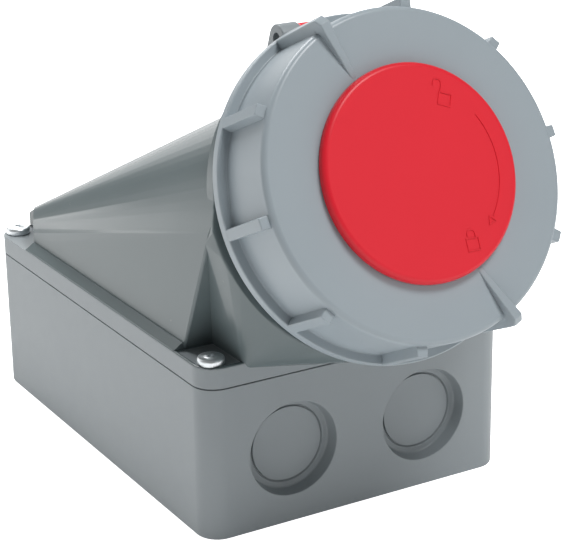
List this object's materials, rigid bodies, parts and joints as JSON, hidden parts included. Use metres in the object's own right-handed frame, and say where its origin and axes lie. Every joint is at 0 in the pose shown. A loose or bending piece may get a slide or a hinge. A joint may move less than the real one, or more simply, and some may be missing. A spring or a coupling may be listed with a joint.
{
  "type": "industrial wall socket",
  "caption": "Surface-mounted industrial power socket: grey back box, sloping hood cover, tilted round socket with a hinged red-centred lid that a turning bayonet ring locks.",
  "frame": {"origin": "centre of the back box's mounting face", "axes": "+Z points out of the wall; -Y is the end with the cable-entry knockouts, toward which the socket looks; +X is to the right of someone facing the socket"},
  "size_m": [0.122, 0.2357, 0.1812],
  "materials": {
    "housing_grey": "injection-moulded grey plastic, satin with a fine grain",
    "hood_grey": "injection-moulded grey plastic, a little glossier than the box",
    "ring_grey": "injection-moulded light grey plastic, satin",
    "signal_red": "injection-moulded red plastic, satin, with low raised marks",
    "seal_rubber": "soft black seal",
    "zinc_steel": "bright zinc-plated steel",
    "contact_brass": "turned brass",
    "insert_black": "moulded dark heat-proof plastic"
  },
  "bodies": {
    "housing": {"back_box": "housing_grey", "hood_cover": "hood_grey", "socket_collar": "housing_grey", "cover_seal": "seal_rubber", "collar_seal": "seal_rubber", "contact_face": "insert_black", "contact_carrier": "insert_black", "hinge_pin": "zinc_steel", "contact_earth": "contact_brass", "contact_line_1": "contact_brass", "contact_line_2": "contact_brass", "contact_line_3": "contact_brass", "contact_neutral": "contact_brass", "contact_pilot": "contact_brass", "terminal_screw_earth": "zinc_steel", "terminal_screw_line_1": "zinc_steel", "terminal_screw_line_2": "zinc_steel", "terminal_screw_line_3": "zinc_steel", "terminal_screw_neutral": "zinc_steel", "cover_screw_1": "zinc_steel", "cover_screw_2": "zinc_steel", "cover_screw_3": "zinc_steel", "cover_screw_4": "zinc_steel", "collar_screw_1": "zinc_steel", "collar_screw_2": "zinc_steel", "collar_screw_3": "zinc_steel", "collar_screw_4": "zinc_steel"},
    "lid": {"lid": "signal_red", "lid_seal": "seal_rubber"},
    "ring": {"bayonet_ring": "ring_grey"}
  },
  "joints": [
    {"name": "lid_hinge", "type": "hinge", "parent": "housing", "child": "lid", "pos_m": [0, -0.06911, 0.16579], "axis": [-1, 0, 0], "range_deg": [0, 130]},
    {"name": "ring_turn", "type": "hinge", "parent": "lid", "child": "ring", "pos_m": [0, -0.1225, 0.1299], "axis": [0, 0.91, -0.4147], "range_deg": [0, 40]}
  ]
}
